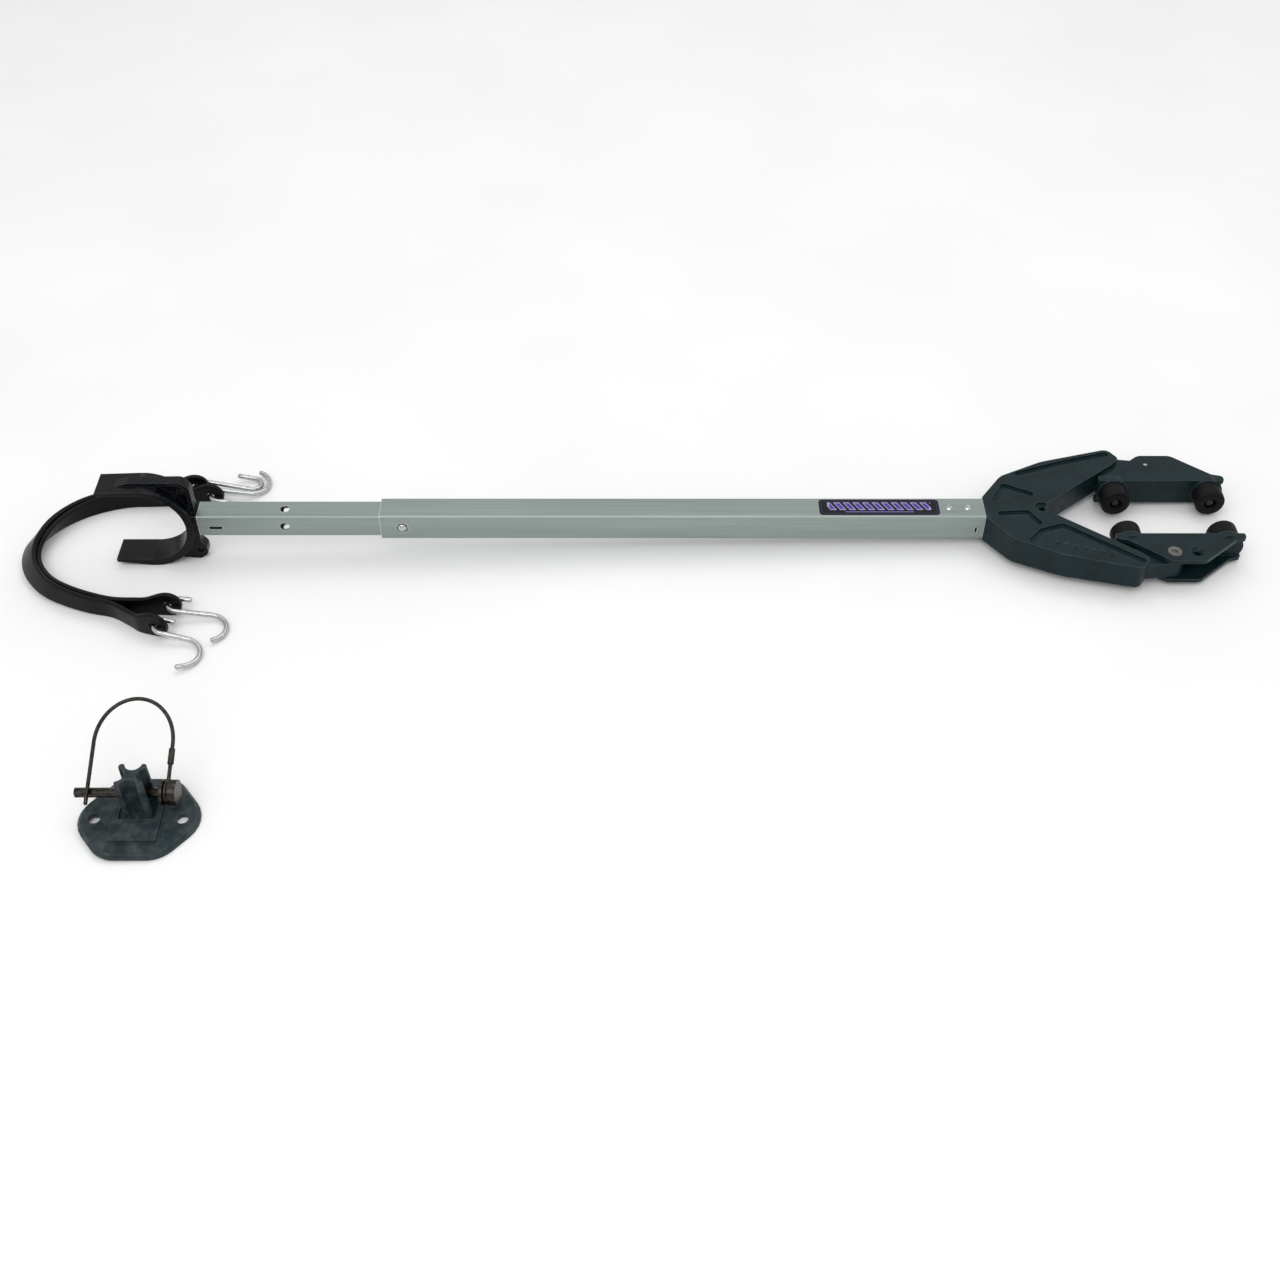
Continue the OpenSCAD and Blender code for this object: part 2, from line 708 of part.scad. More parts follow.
module bracket_pin() {
    color("#3a3630") translate([pin_at[0], pin_at[1], pin_z]) difference() {
        union() {
            translate([pin_left, 0, 0]) x_rod(pin_r, pin_right - pin_left);
            translate([pin_right, 0, 0]) x_rod(pin_neck_r, pin_head_len);
            translate([pin_right, 0, 0]) x_rod(pin_head_r, bail_eye_x - pin_neck_half - pin_right);
            translate([bail_eye_x + pin_neck_half, 0, 0])
                x_rod(pin_head_r, pin_right + pin_head_len - bail_eye_x - pin_neck_half);
        }
        translate([pin_left - 1, -8, -1]) cube([5, 16, 2]);
    }
}

// Frame of the bail: x along the pin, y up the bail, z out of its plane
module bail_frame() {
    translate([pin_at[0], pin_at[1], pin_z]) rotate([bail_lean, 0, 0]) children();
}

function bail_curve() =
    let (
        w = (bail_eye_x - bail_hook_x) / 2,
        m = (bail_eye_x + bail_hook_x) / 2,
        straight = bail_height - bail_round
    )
    concat(
        [[bail_hook_x, -13, bail_off], [bail_hook_x, 0, bail_off], [bail_hook_x, straight * 0.5, bail_off]],
        [for (i = [0:16]) let (a = 180 - 180 * i / 16)
            [m + w * cos(a), straight + bail_round * sin(a), bail_off * (1 - i / 16)]],
        [[bail_eye_x, straight * 0.5, 0], [bail_eye_x, bail_eye_r, 0]]
    );

module bail() {
    color("#2c2a26") bail_frame() {
        wire(bail_curve(), bail_wire_r, 10);
        translate([bail_eye_x, 0, 0]) rotate([0, 90, 0]) rotate_extrude()
            translate([bail_eye_r, 0]) circle(r = bail_wire_r, $fn = 24);
    }
}

module bail_sleeve() {
    color("gray") bail_frame() translate([bail_eye_x, 28, 0]) difference() {
        y_rod(3, 15.5);
        translate([0, -1, 0]) y_rod(bail_wire_r, 18);
    }
}

outer_tube();
inner_tube();
label();
yoke_rivets();
snap_button();
button_spring();
saddle();
color("#151515") strap(1, front_start, front_end);  // strap_front
color("#151515") strap(-1, back_start, back_end);  // strap_back
color("silver") placed_hook(front_start, hook_upper_front);  // s_hook_upper_front
color("silver") placed_hook(back_start, hook_upper_back);  // s_hook_upper_back
color("silver") placed_hook(front_end, hook_lower_front);  // s_hook_lower_front
color("silver") placed_hook(back_end, hook_lower_back);  // s_hook_lower_back
yoke();
rocker(-1);  // rocker_near
rocker(1);  // rocker_far
pivot_screw(-1);  // pivot_screw_near
pivot_screw(1);  // pivot_screw_far
washers(-1);  // washers_near
washers(1);  // washers_far
pad(-1, -pad_offset);  // pad_near_inner
pad(-1, pad_offset);  // pad_near_outer
pad(1, -pad_offset);  // pad_far_inner
pad(1, pad_offset);  // pad_far_outer
pad_screws(-1);  // pad_screws_near
pad_screws(1);  // pad_screws_far
bracket();
bracket_pin();
bail();
bail_sleeve();
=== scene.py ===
import json
import math

import bmesh
import bpy
from mathutils import Matrix, Vector


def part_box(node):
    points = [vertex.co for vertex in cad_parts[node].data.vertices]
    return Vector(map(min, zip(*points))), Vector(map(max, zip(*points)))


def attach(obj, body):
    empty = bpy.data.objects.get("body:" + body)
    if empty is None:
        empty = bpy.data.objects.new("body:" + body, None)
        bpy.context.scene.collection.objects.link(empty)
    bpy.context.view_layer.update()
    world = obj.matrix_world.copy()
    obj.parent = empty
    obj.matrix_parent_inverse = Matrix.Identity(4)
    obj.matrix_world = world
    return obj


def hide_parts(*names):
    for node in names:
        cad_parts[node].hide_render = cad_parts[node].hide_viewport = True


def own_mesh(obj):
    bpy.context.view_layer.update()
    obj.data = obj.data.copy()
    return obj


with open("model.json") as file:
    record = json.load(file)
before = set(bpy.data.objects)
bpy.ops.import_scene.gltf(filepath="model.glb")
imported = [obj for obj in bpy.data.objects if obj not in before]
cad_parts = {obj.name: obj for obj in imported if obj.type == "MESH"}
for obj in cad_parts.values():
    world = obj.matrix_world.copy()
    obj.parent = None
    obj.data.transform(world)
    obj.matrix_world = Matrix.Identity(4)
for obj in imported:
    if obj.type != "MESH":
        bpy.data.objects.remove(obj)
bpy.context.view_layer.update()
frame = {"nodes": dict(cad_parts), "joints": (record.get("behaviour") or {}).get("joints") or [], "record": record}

MM = 0.001
NODES = frame["nodes"]
JOINTS = {j["name"]: j for j in frame["joints"]}

# The surface that the bar lies on, as in the CAD model
REST_X, REST_Z, REST_SLOPE = 5.0, -54.1, 0.0304


def rest_at(x):
    return REST_Z + REST_SLOPE * (x - REST_X)


# ---------------------------------------------------------------- camera, floor and light

def look():
    scene = bpy.context.scene
    scene.view_settings.view_transform = "Standard"
    data = bpy.data.cameras.new("camera")
    data.sensor_width = 36
    data.lens = 45.56
    data.clip_start = 0.05
    data.clip_end = 50
    cam = bpy.data.objects.new("camera", data)
    cam.location = (0.537, -1.3369, 1.1624)
    cam.rotation_euler = (math.radians(44.7), 0, 0)
    scene.collection.objects.link(cam)
    scene.camera = cam

    world = bpy.data.worlds.new("studio")
    world.use_nodes = True
    world.node_tree.nodes["Background"].inputs[0].default_value = (1, 1, 1, 1)
    world.node_tree.nodes["Background"].inputs[1].default_value = 0.75
    scene.world = world

    def area(name, loc, aim, size, power):
        light = bpy.data.lights.new(name, "AREA")
        light.shape = "RECTANGLE"
        light.size, light.size_y = size
        light.energy = power
        obj = bpy.data.objects.new(name, light)
        obj.location = loc
        obj.rotation_euler = (Vector(aim) - Vector(loc)).to_track_quat("-Z", "Y").to_euler()
        scene.collection.objects.link(obj)

    area("key", (0.1, -1.6, 2.2), (0.5, 0, 0), (2.6, 1.4), 26)
    area("top", (0.9, 0.9, 2.4), (0.5, 0, 0), (3.0, 1.4), 16)

    floor = mesh_object("floor", [(-6, -6, 0), (6, -6, 0), (6, 6, 0), (-6, 6, 0)], [(0, 1, 2, 3)])
    floor.rotation_euler = (0, -math.atan(REST_SLOPE), 0)
    floor.location = (0.5, 0, rest_at(500) * MM)
    return floor


def mesh_object(name, verts, faces):
    mesh = bpy.data.meshes.new(name)
    mesh.from_pydata([tuple(v) for v in verts], [], [tuple(f) for f in faces])
    mesh.validate()
    bm = bmesh.new()
    bm.from_mesh(mesh)
    bmesh.ops.recalc_face_normals(bm, faces=bm.faces)
    bm.to_mesh(mesh)
    bm.free()
    obj = bpy.data.objects.new(name, mesh)
    bpy.context.scene.collection.objects.link(obj)
    return obj


# ---------------------------------------------------------------- materials

class Graph:
    """Small helper that adds shader nodes and links by name."""

    def __init__(self, name):
        self.mat = bpy.data.materials.new(name)
        self.mat.use_nodes = True
        self.tree = self.mat.node_tree
        self.shader = self.tree.nodes["Principled BSDF"]
        self.coords = self.tree.nodes.new("ShaderNodeTexCoord").outputs["Object"]

    def node(self, kind, values=None, **settings):
        n = self.tree.nodes.new("ShaderNode" + kind)
        for key, value in settings.items():
            setattr(n, key, value)
        for key, value in (values or {}).items():
            if isinstance(value, bpy.types.NodeSocket):
                self.tree.links.new(value, n.inputs[key])
            else:
                n.inputs[key].default_value = value
        return n

    def mapped(self, scale):
        return self.node("Mapping", {"Vector": self.coords, "Scale": scale}).outputs[0]

    def noise(self, scale, detail=3.0, rough=0.55, stretch=(1, 1, 1)):
        vector = self.mapped(stretch)
        return self.node(
            "TexNoise", {"Vector": vector, "Scale": scale, "Detail": detail, "Roughness": rough}
        ).outputs[0]

    def ramp(self, fac, low, high, a=0.0, b=1.0):
        return self.node(
            "MapRange", {"Value": fac, "From Min": low, "From Max": high, "To Min": a, "To Max": b}
        ).outputs[0]

    def math(self, op, a, b=0.0):
        return self.node("Math", {0: a, 1: b}, operation=op).outputs[0]

    def mix(self, fac, a, b):
        n = self.node("Mix", data_type="RGBA")
        for key, value in ((0, fac), (6, a), (7, b)):
            if isinstance(value, bpy.types.NodeSocket):
                self.tree.links.new(value, n.inputs[key])
            else:
                n.inputs[key].default_value = (*value, 1) if isinstance(value, tuple) else value
        return n.outputs[2]

    def bump(self, height, strength, distance):
        return self.node(
            "Bump", {"Height": height, "Strength": strength, "Distance": distance}
        ).outputs[0]

    def edges(self, radius, low, high):
        """1 on convex and concave edges, 0 on flat faces."""
        rounded = self.node("Bevel", {"Radius": radius}, samples=6).outputs[0]
        flat = self.node("NewGeometry").outputs["Normal"]
        same = self.node("VectorMath", {0: rounded, 1: flat}, operation="DOT_PRODUCT").outputs["Value"]
        return self.ramp(self.math("SUBTRACT", 1.0, same), low, high)

    def link(self, socket, value):
        if isinstance(value, bpy.types.NodeSocket):
            self.tree.links.new(value, self.shader.inputs[socket])
        else:
            self.shader.inputs[socket].default_value = (*value, 1) if isinstance(value, tuple) else value
        return self


def casting(name, base, worn, roughness, dusty=0.0):
    """Moulded part: mottled base colour, worn edges, and pale dust where dusty is above 0."""
    g = Graph(name)
    mottle = g.ramp(g.noise(45, 4), 0.3, 0.7)
    grain = g.noise(1400, 2)
    patch = g.ramp(g.noise(160, 3), 0.35, 0.75)
    dark = tuple(c * 0.72 for c in base)
    light = tuple(c * 1.35 for c in base)
    colour = g.mix(mottle, dark, light)
    edge = g.math("MULTIPLY", g.edges(0.0011, 0.012, 0.10), g.ramp(patch, 0.0, 1.0, 0.35, 1.0))
    dust = g.math("MULTIPLY", g.ramp(g.noise(70, 5, 0.65), 0.42, 0.72), dusty)
    colour = g.mix(dust, colour, (0.10, 0.115, 0.12))
    colour = g.mix(edge, colour, worn)
    g.link("Base Color", colour)
    g.link("Roughness", g.ramp(patch, 0, 1, roughness - 0.07, roughness + 0.09))
    g.link("Specular IOR Level", 0.17)
    g.link("Normal", g.bump(g.math("ADD", grain, g.math("MULTIPLY", patch, 1.6)), 0.35, 0.00012))
    return g.mat


def tube_metal():
    """Drawn aluminium with fine streaks along X and a painted highlight line on its rounded corners."""
    g = Graph("tube_metal")
    streak = g.noise(1.0, 4, 0.6, (9, 900, 900))
    broad = g.noise(1.0, 2, 0.5, (2.4, 60, 60))
    spots = g.ramp(g.noise(420, 2), 0.62, 0.78)
    colour = g.mix(g.ramp(streak, 0.3, 0.7), (0.235, 0.275, 0.262), (0.31, 0.36, 0.343))
    colour = g.mix(g.ramp(broad, 0.35, 0.7, 0.0, 0.35), colour, (0.37, 0.42, 0.40))
    colour = g.mix(g.math("MULTIPLY", spots, 0.12), colour, (0.14, 0.15, 0.145))
    # Painted highlight: near-white colour mixed in along the rounded corners, standing in for a glint of light
    colour = g.mix(g.edges(0.0014, 0.02, 0.16), colour, (0.80, 0.84, 0.82))
    g.link("Base Color", colour).link("Metallic", 1.0)
    g.link("Roughness", g.ramp(streak, 0.3, 0.7, 0.34, 0.46))
    g.link("Normal", g.bump(streak, 0.25, 0.00006))
    return g.mat


def steel(name, low, high, roughness):
    """Plated or oiled steel whose colour drifts between low and high."""
    g = Graph(name)
    cloud = g.noise(260, 4)
    fine = g.noise(2600, 2)
    g.link("Base Color", g.mix(g.ramp(cloud, 0.3, 0.7), low, high)).link("Metallic", 1.0)
    g.link("Roughness", g.ramp(cloud, 0.3, 0.7, roughness, roughness + 0.14))
    g.link("Normal", g.bump(fine, 0.2, 0.00004))
    return g.mat


def rubber(name, base, roughness, grain=0.00006):
    """Black rubber with a fine grain and a little dust."""
    g = Graph(name)
    cloud = g.noise(90, 4)
    fine = g.noise(1900, 3)
    dust = g.ramp(g.noise(700, 3), 0.6, 0.85)
    colour = g.mix(g.ramp(cloud, 0.3, 0.7), tuple(c * 0.75 for c in base), tuple(c * 1.3 for c in base))
    colour = g.mix(g.math("MULTIPLY", dust, 0.05), colour, (0.10, 0.10, 0.10))
    g.link("Base Color", colour).link("Specular IOR Level", 0.14)
    g.link("Roughness", g.ramp(cloud, 0.3, 0.7, roughness, roughness + 0.12))
    g.link("Normal", g.bump(fine, 0.4, grain))
    return g.mat


def label_film():
    """Black film with a thin border line, slanted violet bars and one thin stripe under them."""
    low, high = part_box("label")
    mid = (low + high) / 2
    half_x, half_y = (high.x - low.x) / 2, (high.y - low.y) / 2
    g = Graph("label_film")
    xyz = g.node("SeparateXYZ", {0: g.coords}).outputs
    x = g.math("SUBTRACT", xyz[0], mid.x)
    y = g.math("SUBTRACT", xyz[1], mid.y)
    ax, ay = g.math("ABSOLUTE", x), g.math("ABSOLUTE", y)

    def inside(v, limit):
        return g.math("LESS_THAN", v, limit)

    def times(*parts):
        out = parts[0]
        for p in parts[1:]:
            out = g.math("MULTIPLY", out, p)
        return out

    slant, half_pitch, bar, core_bar = 0.55, 0.0052, 0.0034, 0.0024
    band_at, band_half, core_half = 0.0015, 0.0062, 0.0049
    stripe_at, stripe_half = -0.0078, 0.0007
    rim_out, rim_in = 0.0022, 0.0029

    along = g.math("ADD", x, g.math("MULTIPLY", y, slant))
    bars = inside(g.math("PINGPONG", along, half_pitch), bar)
    band_y = g.math("ABSOLUTE", g.math("SUBTRACT", y, band_at))
    band = times(inside(band_y, band_half), inside(ax, half_x - 0.009), bars)
    core = times(inside(band_y, core_half), inside(ax, half_x - 0.011),
                 inside(g.math("PINGPONG", along, half_pitch), core_bar))
    stripe_y = g.math("ABSOLUTE", g.math("SUBTRACT", y, stripe_at))
    under = times(inside(stripe_y, stripe_half), inside(ax, half_x - 0.028))
    rim = g.math("SUBTRACT",
                 times(inside(ax, half_x - rim_out), inside(ay, half_y - rim_out)),
                 times(inside(ax, half_x - rim_in), inside(ay, half_y - rim_in)))
    colour = g.mix(band, (0.004, 0.004, 0.010), (0.36, 0.31, 0.58))
    colour = g.mix(core, colour, (0.075, 0.045, 0.26))
    colour = g.mix(under, colour, (0.16, 0.12, 0.36))
    colour = g.mix(g.math("MAXIMUM", rim, 0.0), colour, (0.03, 0.028, 0.06))
    g.link("Base Color", colour).link("Specular IOR Level", 0.2)
    g.link("Roughness", g.ramp(g.noise(300, 3), 0.3, 0.7, 0.22, 0.34))
    g.link("Normal", g.bump(g.noise(500, 2), 0.1, 0.00003))
    return g.mat


def floor_paint():
    g = Graph("floor_paint")
    g.link("Base Color", g.mix(g.ramp(g.noise(3, 2), 0.3, 0.7), (0.86, 0.86, 0.86), (0.90, 0.90, 0.90)))
    g.link("Roughness", 0.9)
    return g.mat


MATS = {
    "tube_metal": tube_metal(),
    "bright_steel": steel("bright_steel", (0.38, 0.39, 0.39), (0.58, 0.59, 0.60), 0.18),
    "screw_steel": steel("screw_steel", (0.11, 0.11, 0.10), (0.22, 0.22, 0.21), 0.30),
    "dark_steel": steel("dark_steel", (0.022, 0.019, 0.016), (0.07, 0.064, 0.056), 0.26),
    "black_casting": casting("black_casting", (0.0025, 0.003, 0.004), (0.06, 0.068, 0.076), 0.30),
    "grey_casting": casting("grey_casting", (0.005, 0.0145, 0.0175), (0.06, 0.105, 0.11), 0.40),
    "bracket_casting": casting("bracket_casting", (0.014, 0.024, 0.027), (0.10, 0.125, 0.13), 0.42, 0.5),
    "rubber": rubber("rubber", (0.002, 0.002, 0.0023), 0.26),
    "pad_rubber": rubber("pad_rubber", (0.0035, 0.0035, 0.0035), 0.5, 0.00012),
    "label_film": label_film(),
}
SLOT = {p["node"]: p["material_slot"] for p in frame["record"]["subparts"]}


def paint(obj, name):
    obj.data.materials.clear()
    obj.data.materials.append(MATS[name])
    return obj


def piece(obj, body, slot, mat=None, stands_for=()):
    """A finished piece: its material, the body it rides on and the CAD nodes it stands for."""
    paint(obj, mat or slot)
    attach(obj, body)
    if stands_for:
        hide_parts(*stands_for)
    return obj


# ---------------------------------------------------------------- swept and turned pieces

def tube(points, radius, sides=20):
    """Verts and faces of a round wire with domed ends, turned as little as possible on its way."""
    pts = [Vector(p) for p in points]
    n = len(pts)
    tangents = [(pts[min(i + 1, n - 1)] - pts[max(i - 1, 0)]).normalized() for i in range(n)]
    u = tangents[0].orthogonal().normalized()
    rings = []
    for i, (p, t) in enumerate(zip(pts, tangents)):
        u = (u - t * u.dot(t)).normalized()
        rings.append((p, t, u, radius))
    # The ends bulge out as flattened half spheres: (sine, cosine) of each extra ring
    dome = [(0.45, 0.89), (0.75, 0.66), (0.93, 0.36)]
    bulge = radius * 0.8
    (p0, t0, u0, _), (p1, t1, u1, _) = rings[0], rings[-1]
    start = [(p0 - t0 * bulge * s, t0, u0, radius * c) for s, c in reversed(dome)]
    end = [(p1 + t1 * bulge * s, t1, u1, radius * c) for s, c in dome]
    rings = start + rings + end
    verts, faces = [], []
    for p, t, u, r in rings:
        v = t.cross(u)
        for k in range(sides):
            a = 2 * math.pi * k / sides
            verts.append(p + (u * math.cos(a) + v * math.sin(a)) * r)
    for i in range(len(rings) - 1):
        for k in range(sides):
            a, b = i * sides + k, i * sides + (k + 1) % sides
            faces.append((a, b, b + sides, a + sides))
    faces.append(tuple(range(sides - 1, -1, -1)))
    faces.append(tuple((len(rings) - 1) * sides + k for k in range(sides)))
    return verts, faces


def turned(profile, matrix, sides=48, closed=False):
    """Verts and faces of a profile [(radius, height)] turned about local Z, placed by matrix."""
    verts, faces = [], []
    n = len(profile)
    for r, h in profile:
        for k in range(sides):
            a = 2 * math.pi * k / sides
            verts.append(matrix @ Vector((r * math.cos(a), r * math.sin(a), h)))
    for i in range(n if closed else n - 1):
        for k in range(sides):
            a, b = i * sides + k, i * sides + (k + 1) % sides
            c, d = ((i + 1) % n) * sides + (k + 1) % sides, ((i + 1) % n) * sides + k
            faces.append((a, b, c, d))
    if not closed:
        faces.append(tuple(range(sides)))
        faces.append(tuple((n - 1) * sides + k for k in range(sides)))
    return verts, faces


def joined(*parts):
    """One list of verts and one of faces for several (verts, faces) parts."""
    verts, faces = [], []
    for v, f in parts:
        shift = len(verts)
        verts += v
        faces += [tuple(i + shift for i in face) for face in f]
    return verts, faces


def smooth_by_angle(obj, degrees=35):
    obj.data.shade_smooth()
    obj.data.set_sharp_from_angle(angle=math.radians(degrees))
    return obj


# ---------------------------------------------------------------- straps

# Sizes and route of the straps, in millimetres, as in the CAD model
STRAP_W, STRAP_T, PADDLE_R, HOLE_R = 22.0, 5.4, 15.0, 4.6
PADDLE_BLEND = 30
SIDE_GAP = STRAP_T / 2 + 0.5
REST_GAP = 0.3
# Places along the round paddle, from the hole outwards, and the raised rim round the hole
BEYOND_HOLE = (3, 6, 8.5, 10.5, 12.2, 13.4, 14.2, 14.7)
RIM = ((4.7, -0.6), (4.8, 0.15), (5.4, 0.42), (7.0, 0.42), (7.8, 0.05), (7.8, -0.6))
# The loop that both straps follow, as (x, y, lean of the wide side from level)
LOOP = [
    (-20, 88, 90), (-50, 87.5, 90), (-76, 81, 90), (-98, 69, 82), (-117, 51, 70), (-130, 30, 58),
    (-137, 6, 44), (-134, -18, 46), (-123, -40, 54), (-105, -60, 66), (-82, -74, 80),
    (-54, -86, 86), (-26, -94, 90),
]
# Side of the pair, then the tails at the start and the end of the loop
STRAPS = {
    "strap_front": (1, [(4, 99.2, 90), (26, 101, 90)],
                    [(-6, -110, 90), (8, -120, 90), (26, -126, 90)]),
    "strap_back": (-1, [(18, 85, 90), (46.5, 84, 90)], [(4, -93, 90), (34, -95, 90)]),
}


def strap_frames(side, start, end, steps=8):
    """[(middle, wide way, thick way, half width)] along a strap, in millimetres."""
    def along(route, i):
        a, b = route[max(i - 1, 0)], route[min(i + 1, len(route) - 1)]
        return Vector((b[0] - a[0], b[1] - a[1], 0)).normalized()

    def ways(t, lean):
        inwards = Vector((-t.y, t.x, 0))
        c, s = math.cos(math.radians(lean)), math.sin(math.radians(lean))
        return inwards * c + Vector((0, 0, s)), inwards * -s + Vector((0, 0, c))

    route = list(reversed(start))
    for i, p in enumerate(LOOP):
        o = ways(along(LOOP, i), p[2])[1] * side * SIDE_GAP
        route.append((p[0] + o.x, p[1] + o.y, p[2]))
    route += end
    fine = []
    k = len(route)
    for i in range(k - 1):
        a, b, c, d = (Vector(route[j]) for j in (max(i - 1, 0), i, i + 1, min(i + 2, k - 1)))
        for s in range(steps):
            f = s / steps
            fine.append(0.5 * (2 * b + (c - a) * f + (2 * a - 5 * b + 4 * c - d) * f * f
                               + (3 * b - a - 3 * c + d) * f ** 3))
    fine.append(Vector(route[-1]))
    n = len(fine)
    dist = [0.0]
    for a, b in zip(fine, fine[1:]):
        dist.append(dist[-1] + (b.xy - a.xy).length)
    t0, t1 = along(fine, 0), along(fine, n - 1)
    out = [(fine[0].x - t0.x * s, fine[0].y - t0.y * s, 90, -s) for s in reversed(BEYOND_HOLE)]
    out += [(p.x, p.y, p.z, min(dist[i], dist[-1] - dist[i])) for i, p in enumerate(fine)]
    out += [(fine[-1].x + t1.x * s, fine[-1].y + t1.y * s, 90, -s) for s in BEYOND_HOLE]

    def half(s):
        if s < 0:
            return math.sqrt(max(PADDLE_R ** 2 - s * s, 4))
        if s < PADDLE_BLEND:
            blend = 0.5 + 0.5 * math.cos(math.pi * s / PADDLE_BLEND)
            return STRAP_W / 2 + (PADDLE_R - STRAP_W / 2) * blend
        return STRAP_W / 2

    frames = []
    for i, (x, y, lean, s) in enumerate(out):
        wide, thick = ways(along(out, i), lean)
        c, sn = math.cos(math.radians(lean)), math.sin(math.radians(lean))
        ride = half(max(s, 0)) * sn + (STRAP_T / 2 + SIDE_GAP + side * SIDE_GAP) * c + REST_GAP
        frames.append((Vector((x, y, rest_at(x) + ride)), wide, thick, half(s)))
    return frames


def strap_section(half_w, half_t, corner=1.5, n=5):
    """Outline of the strap: flat faces, round edges."""
    pts = []
    corner = min(corner, half_w * 0.8)
    for cx, cy, a0 in ((1, 1, 0), (-1, 1, 90), (-1, -1, 180), (1, -1, 270)):
        for i in range(n):
            a = math.radians(a0 + 90 * i / (n - 1))
            pts.append((cx * (half_w - corner) + corner * math.cos(a),
                        cy * (half_t - corner) + corner * math.sin(a)))
    return pts


def hole_cutter(at, direction):
    matrix = Matrix.Translation(at) @ direction.to_track_quat("Z", "Y").to_matrix().to_4x4()
    return turned([(HOLE_R * MM, -0.02), (HOLE_R * MM, 0.02)], matrix, 32)


def strap_bodies():
    """Both straps with their holes cut; gives each one's object and middle line."""
    made = {}
    for name, (side, start, end) in STRAPS.items():
        frames = strap_frames(side, start, end)
        verts, faces = [], []
        for mid, wide, thick, half in frames:
            ring = strap_section(half, STRAP_T / 2)
            verts += [(mid + wide * a + thick * b) * MM for a, b in ring]
        m = len(ring)
        for i in range(len(frames) - 1):
            for k in range(m):
                a, b = i * m + k, i * m + (k + 1) % m
                faces.append((a, b, b + m, a + m))
        faces.append(tuple(range(m - 1, -1, -1)))
        faces.append(tuple((len(frames) - 1) * m + k for k in range(m)))
        obj = mesh_object(name + "_rubber", verts, faces)
        rims = []
        hole = len(BEYOND_HOLE)
        for i in (hole, len(frames) - 1 - hole):
            mid, wide, thick, half = frames[i]
            cut = mesh_object("cut", *hole_cutter(mid * MM, thick))
            mod = obj.modifiers.new("hole", "BOOLEAN")
            mod.operation, mod.object, mod.solver = "DIFFERENCE", cut, "EXACT"
            bpy.context.view_layer.update()
            done = bpy.data.meshes.new_from_object(obj.evaluated_get(bpy.context.evaluated_depsgraph_get()))
            obj.modifiers.clear()
            obj.data = done
            bpy.data.objects.remove(cut)
            for s in (-1, 1):
                matrix = (Matrix.Translation((mid + thick * s * STRAP_T / 2) * MM)
                          @ (thick * s).to_track_quat("Z", "Y").to_matrix().to_4x4())
                rims.append(turned([(r * MM, h * MM) for r, h in RIM], matrix, 40, closed=True))
        body = ([v.co.copy() for v in obj.data.vertices], [tuple(p.vertices) for p in obj.data.polygons])
        bpy.data.objects.remove(obj)
        obj = mesh_object(name + "_rubber", *joined(body, *rims))
        smooth_by_angle(obj, 40)
        piece(obj, "head", "rubber", stands_for=[name])
        made[name] = (obj, [f[0] * MM for f in frames])
    return made


# ---------------------------------------------------------------- hooks

# Radius of the wire and of the curl round the strap, and how far a hook clears the floor
HOOK_R, LOOP_R, HOOK_CLEAR = 2.75, 9.5, 0.5
# (free leg, outer curl, shank, sweep of the outer curl, tail) and the side each hook turns to
HOOKS = {
    "s_hook_upper_front": (3, 9.5, 61, 180, 18, 1),
    "s_hook_upper_back": (12, 20, 42, 150, 2, 1),
    "s_hook_lower_front": (8, 19.5, 38, 150, 8, -1),
    "s_hook_lower_back": (12, 19, 47, 150, 2, -1),
}


def arc(cx, cy, r, a0, a1, n):
    return [(cx + r * math.cos(math.radians(a0 + (a1 - a0) * i / n)),
             cy + r * math.sin(math.radians(a0 + (a1 - a0) * i / n))) for i in range(n + 1)]


def hook_bodies():
    """The four wire hooks, each in its strap's hole and lying on the floor."""
    made = {}
    for node, (free, curl, shank, sweep, tail, side) in HOOKS.items():
        joint = JOINTS[node.replace("s_", "", 1) + "_swing"]
        ax, ay = joint["axis"][:2]
        drop = math.asin((PADDLE_R + REST_GAP - HOOK_R - HOOK_CLEAR) / (shank + curl) - REST_SLOPE)
        stop = 90 - sweep
        line = [(LOOP_R + free, LOOP_R), (LOOP_R + free * 0.5, LOOP_R)]
        line += arc(LOOP_R, 0, LOOP_R, 90, 270, 28)
        line += [(LOOP_R + (shank - LOOP_R) * f, -LOOP_R) for f in (0.25, 0.5, 0.75)]
        line += arc(shank, -LOOP_R - curl, curl, 90, stop, 36)
        a = math.radians(stop)
        end = line[-1]
        line += [(end[0] + f * tail * math.sin(a), end[1] - f * tail * math.cos(a)) for f in (0.5, 1)]
        matrix = (Matrix.Translation(joint["pos_m"])
                  @ Matrix.Rotation(math.atan2(ax, -ay), 4, "Z")
                  @ Matrix.Rotation(drop, 4, "Y"))
        points = [matrix @ (Vector((x, -side * y, 0)) * MM) for x, y in line]
        obj = mesh_object(node + "_wire", *tube(points, HOOK_R * MM))
        smooth_by_angle(obj, 50)
        made[node] = piece(obj, joint["child"], "bright_steel", stands_for=[node])
    return made


# ---------------------------------------------------------------- bail

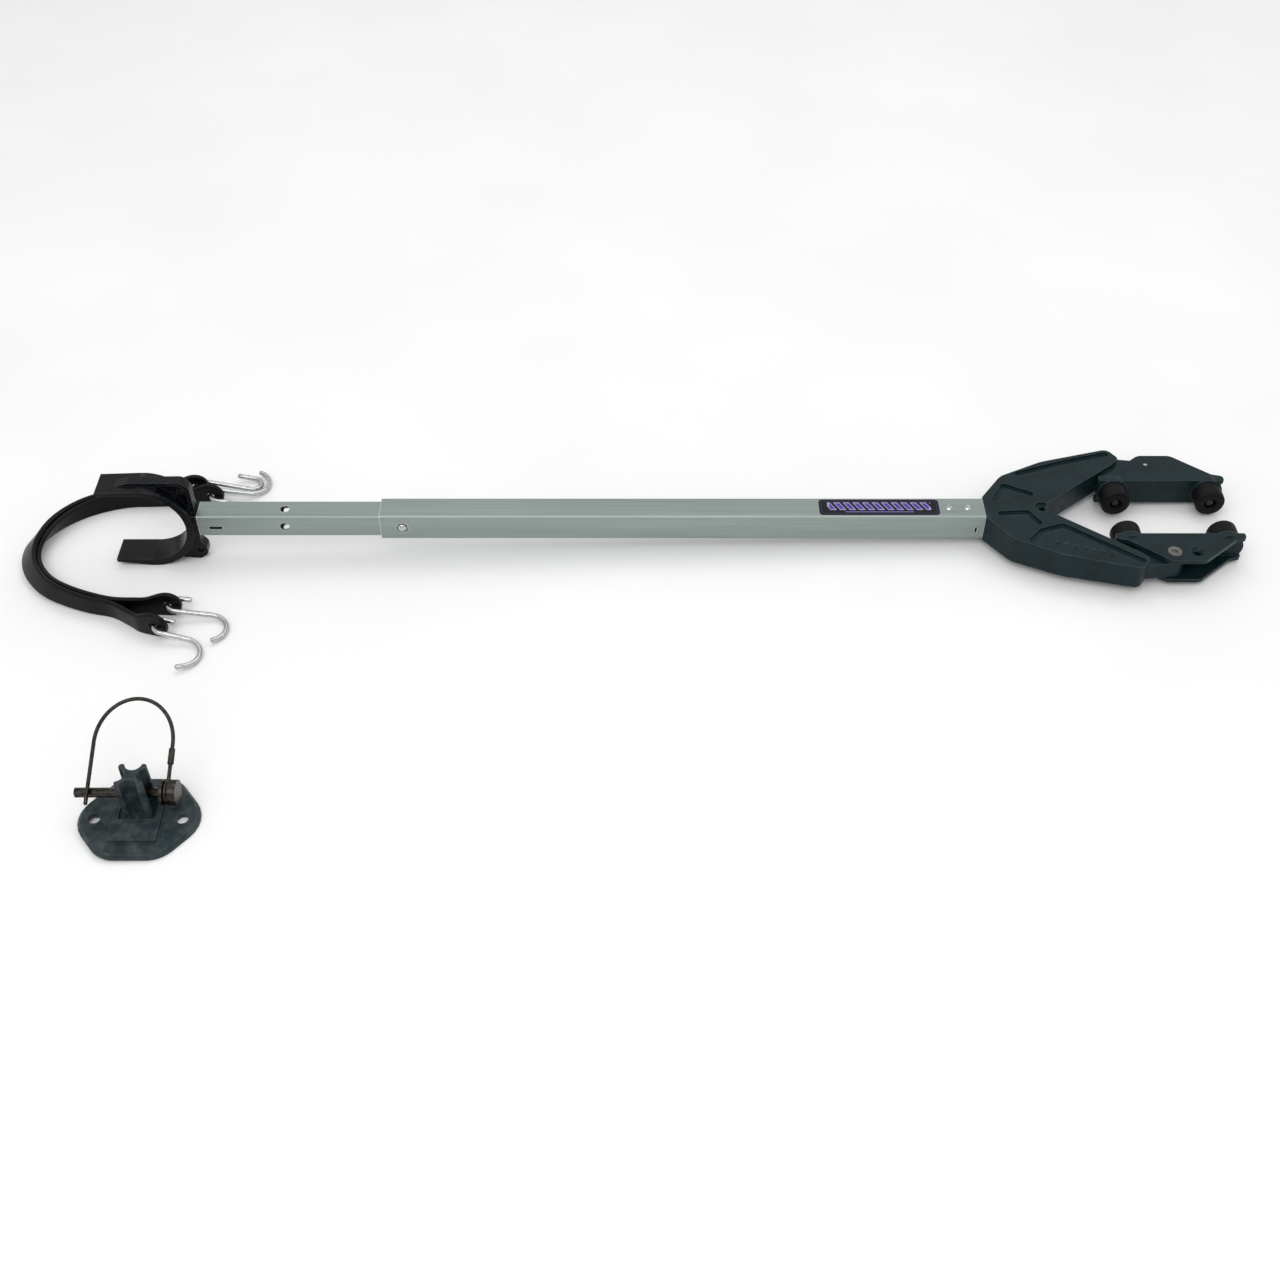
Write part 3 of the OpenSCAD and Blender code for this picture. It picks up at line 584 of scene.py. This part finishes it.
def bail_body():
    """The wire bail: a free leg behind the pin's left end, an arch, and a ring round its neck."""
    joint = JOINTS["bail_swing"]
    wire_r, lean = 1.9, 22
    left, eye_x = -44.0, 29.1
    height, arch = 93.0, 44.0
    off, eye_r = 7.0, 9.5
    w, m = (eye_x - left) / 2, (eye_x + left) / 2
    straight = height - arch
    line = [(left, -13, off), (left, 0, off), (left, straight * 0.5, off)]
    line += [(m + w * math.cos(a), straight + arch * math.sin(a), off * (1 - i / 32))
             for i, a in ((i, math.pi * (1 - i / 32)) for i in range(33))]
    line += [(eye_x, straight * 0.5, 0), (eye_x, eye_r, 0)]
    matrix = Matrix.Translation(joint["pos_m"]) @ Matrix.Rotation(math.radians(lean), 4, "X")
    wire = tube([matrix @ (Vector(p) * MM) for p in line], wire_r * MM)
    ring = turned(
        [((eye_r + wire_r * math.cos(a)) * MM, wire_r * math.sin(a) * MM)
         for a in (2 * math.pi * i / 16 for i in range(16))],
        matrix @ Matrix.Translation((eye_x * MM, 0, 0)) @ Matrix.Rotation(math.pi / 2, 4, "Y"),
        40, closed=True)
    obj = mesh_object("bail_wire", *joined(wire, ring))
    smooth_by_angle(obj, 50)
    piece(obj, joint["child"], "dark_steel", stands_for=["bail"])


# ---------------------------------------------------------------- pads and button

# (radius, height over the rocker's face) of a pad with a groove round it and a recess for its screw
PAD_PROFILE = [
    (2.8, 0), (15.7, 0), (16.0, 0.4), (16.0, 4.2), (15.4, 4.9), (15.4, 5.7), (16.0, 6.4), (16.0, 18.6),
    (15.8, 20.0), (15.1, 21.1), (14.2, 21.8), (13.0, 22), (7.6, 22), (7.0, 21.8), (6.5, 21.2),
    (6.5, 16.2), (2.8, 16),
]


def facing(direction, at):
    """Matrix that puts local Z along direction, from at."""
    return Matrix.Translation(at) @ Vector(direction).to_track_quat("Z", "X").to_matrix().to_4x4()


def pad_bodies():
    for side, name in ((-1, "near"), (1, "far")):
        for place in ("inner", "outer"):
            node = f"pad_{name}_{place}"
            low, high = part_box(node)
            base = Vector(((low.x + high.x) / 2, high.y if side > 0 else low.y, (low.z + high.z) / 2))
            obj = mesh_object(node + "_rubber", *turned(
                [(r * MM, h * MM) for r, h in PAD_PROFILE], facing((0, -side, 0), base), 72, closed=True))
            smooth_by_angle(obj, 40)
            piece(obj, f"rocker_{name}_set", "rubber", "pad_rubber", [node])


def button_body():
    """The snap button, which the spring lets sink when the outer tube slides over it."""
    low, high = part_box("snap_button")
    base = Vector(((low.x + high.x) / 2, high.y, (low.z + high.z) / 2))
    radius, height = (high.x - low.x) / 2, high.y - low.y
    dome, middle = 3 * MM, 0.1 * MM
    profile = [(middle, 0), (radius, 0), (radius, height - dome)]
    profile += [(radius * math.cos(a), height - dome + dome * math.sin(a))
                for a in (math.pi / 2 * i / 10 for i in range(1, 10))]
    profile += [(middle, height)]
    obj = mesh_object("snap_button_dome", *turned(profile, facing((0, -1, 0), base), 40))
    smooth_by_angle(obj, 40)
    piece(obj, "button", "bright_steel", stands_for=["snap_button"])
    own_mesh(obj)


floor = look()
floor.data.materials.append(floor_paint())
straps = strap_bodies()
hooks = hook_bodies()
bail_body()
pad_bodies()
button_body()

# ---------------------------------------------------------------- CAD nodes that stay

# Nodes whose material isn't named after their slot
SPECIAL = {"bracket": "bracket_casting", "pivot_screw_near": "screw_steel"}
# Width of the rounded edges in millimetres
EDGE = {"grey_casting": 0.9, "black_casting": 0.7, "dark_steel": 0.3, "bright_steel": 0.25}
for node, obj in NODES.items():
    if obj.hide_render:
        continue
    slot = SLOT[node]
    paint(obj, SPECIAL.get(node, slot))
    if slot in EDGE:
        weld = obj.modifiers.new("weld", "WELD")
        weld.merge_threshold = 0.00002
        bevel = obj.modifiers.new("edge", "BEVEL")
        bevel.width = EDGE[slot] * MM
        bevel.segments = 3
        bevel.limit_method = "ANGLE"
        bevel.angle_limit = math.radians(32)
        bevel.harden_normals = False
